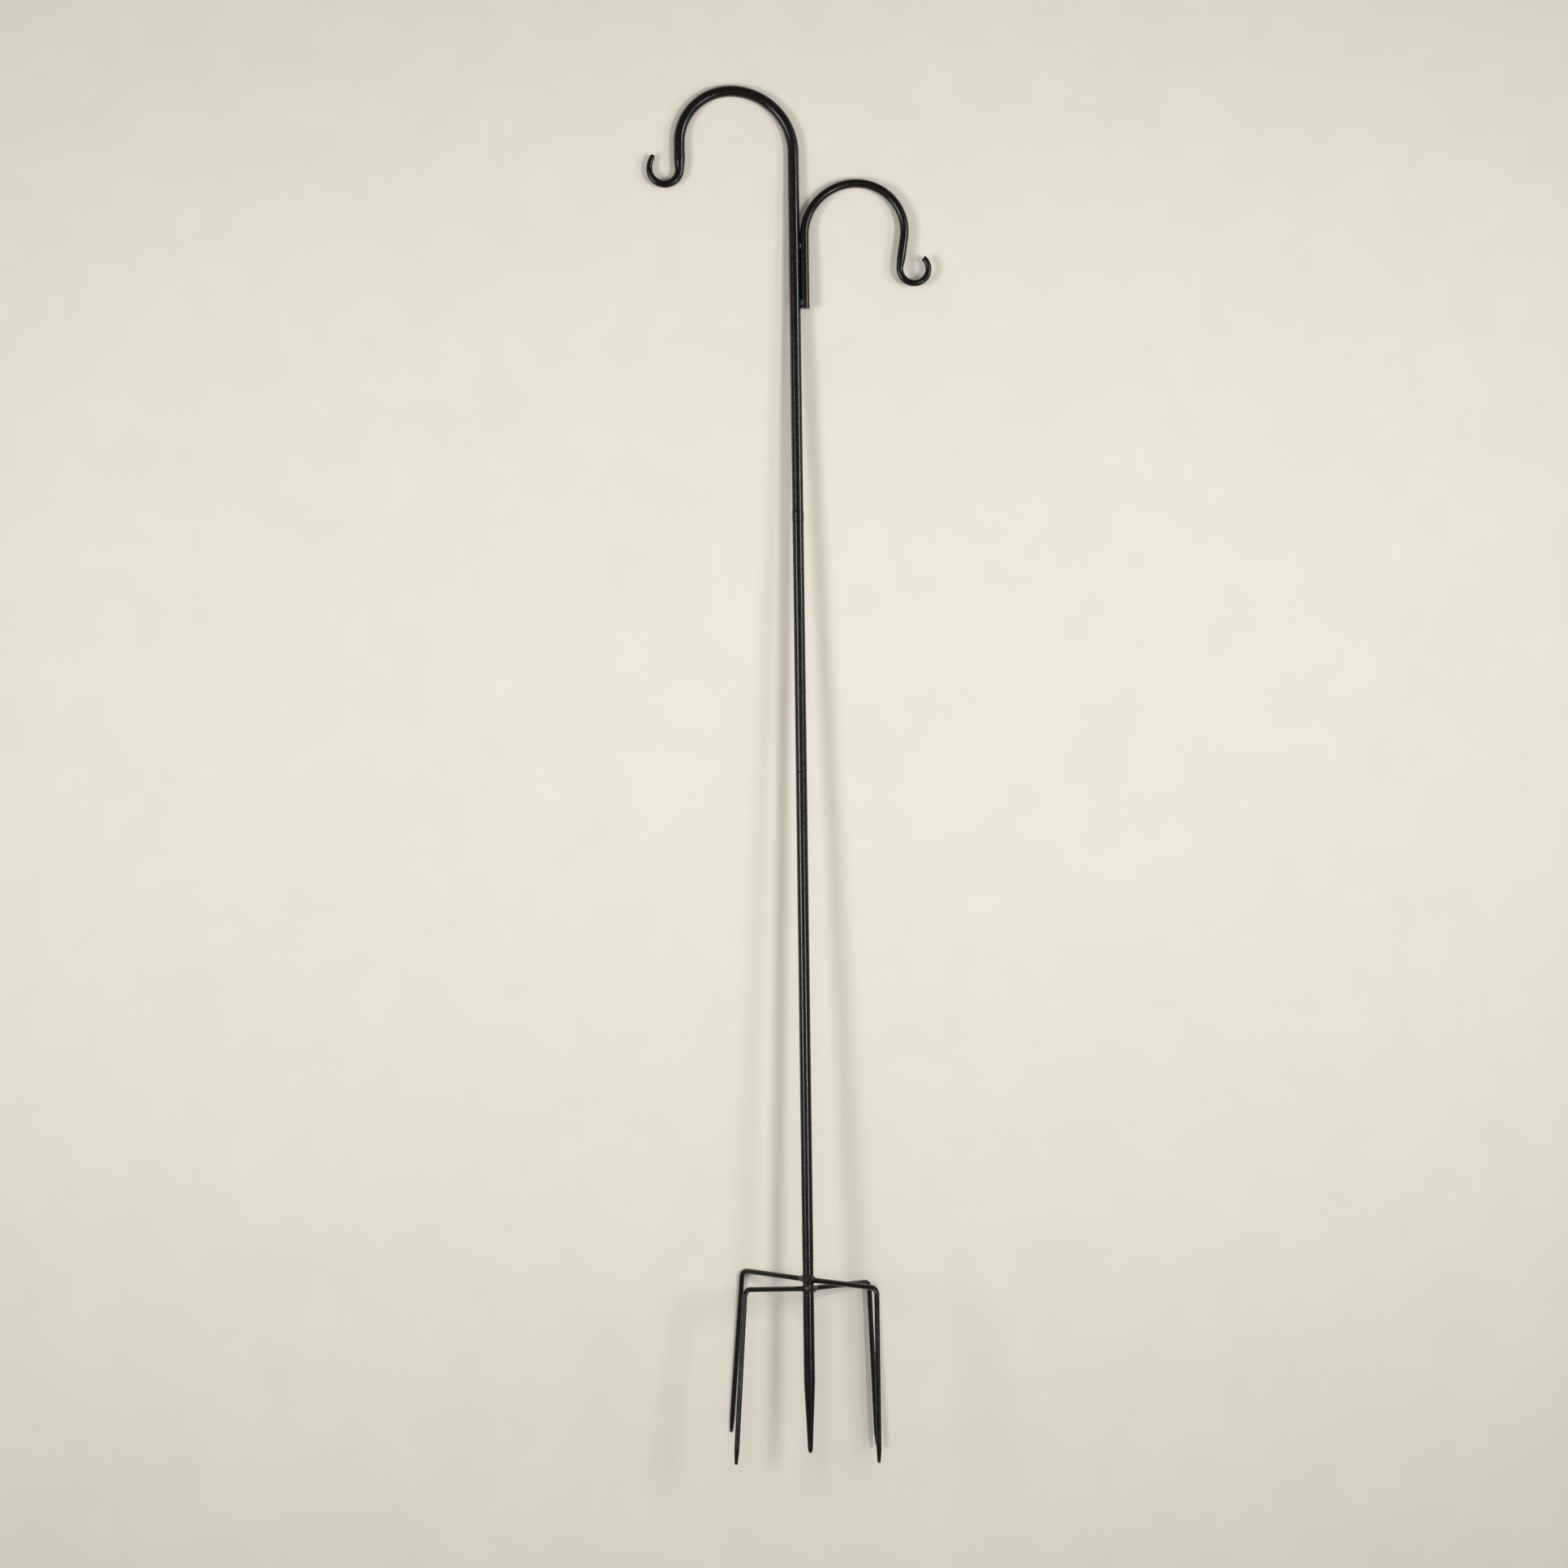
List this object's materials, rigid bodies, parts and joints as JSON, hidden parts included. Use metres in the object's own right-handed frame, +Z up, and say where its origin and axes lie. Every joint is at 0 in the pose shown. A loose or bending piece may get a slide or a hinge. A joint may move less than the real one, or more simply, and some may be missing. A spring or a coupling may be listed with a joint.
{
  "type": "hanging plant stand",
  "caption": "Shepherd's crook plant stand: a screw-together tube pole with a tall crook, a smaller side crook and a pronged stake base to push into soil.",
  "frame": {"origin": "on the pole's axis at the soil line, where the stake's full round ends just under the prong welds", "axes": "+Z up the pole; +X towards the side crook, with both crooks in the XZ plane; -Y is the front that the picture shows"},
  "size_m": [0.345, 0.1875, 1.6548],
  "materials": {
    "powder_coat": "semi-gloss black powder coat over steel tube and rod",
    "weld_bead": "rippled steel weld bead under the same black powder coat, glossier on its crests",
    "zinc_plate": "bright zinc plate on turned steel"
  },
  "bodies": {
    "ground_base": {"ground_stake": "powder_coat", "ground_stake_stud": "zinc_plate", "prong_front_left": "powder_coat", "prong_front_right": "powder_coat", "prong_back_left": "powder_coat", "prong_back_right": "powder_coat", "prong_weld_front_left": "weld_bead", "prong_weld_front_right": "weld_bead", "prong_weld_back_left": "weld_bead", "prong_weld_back_right": "weld_bead"},
    "lower_insert": {"lower_pole_insert": "zinc_plate"},
    "lower_section": {"lower_pole": "powder_coat", "lower_pole_stud": "zinc_plate"},
    "upper_insert": {"upper_pole_insert": "zinc_plate"},
    "upper_section": {"upper_pole": "powder_coat", "upper_pole_stud": "zinc_plate"},
    "crook_insert": {"main_crook_insert": "zinc_plate"},
    "crook_section": {"main_crook": "powder_coat", "side_crook": "powder_coat", "side_crook_weld_upper": "weld_bead", "side_crook_weld_lower": "weld_bead"}
  },
  "joints": [
    {"name": "base_screw_rise", "type": "slide", "parent": "ground_base", "child": "lower_insert", "axis": [0, 0, 1], "range_m": [0, 0.01312]},
    {"name": "base_screw_turn", "type": "hinge", "parent": "lower_insert", "child": "lower_section", "pos_m": [0, 0, 0.039], "axis": [0, 0, 1], "range_deg": [0, 3780]},
    {"name": "middle_screw_rise", "type": "slide", "parent": "lower_section", "child": "upper_insert", "axis": [0, 0, 1], "range_m": [0, 0.01312]},
    {"name": "middle_screw_turn", "type": "hinge", "parent": "upper_insert", "child": "upper_section", "pos_m": [0, 0, 0.627], "axis": [0, 0, 1], "range_deg": [0, 3780]},
    {"name": "crook_screw_rise", "type": "slide", "parent": "upper_section", "child": "crook_insert", "axis": [0, 0, 1], "range_m": [0, 0.01312]},
    {"name": "crook_screw_turn", "type": "hinge", "parent": "crook_insert", "child": "crook_section", "pos_m": [0, 0, 0.93], "axis": [0, 0, 1], "range_deg": [0, 3780]}
  ],
  "couplings": [
    {"joint": "base_screw_turn", "follows": "base_screw_rise", "rad_per_m": 5026.5},
    {"joint": "middle_screw_turn", "follows": "middle_screw_rise", "rad_per_m": 5026.5},
    {"joint": "crook_screw_turn", "follows": "crook_screw_rise", "rad_per_m": 5026.5}
  ]
}
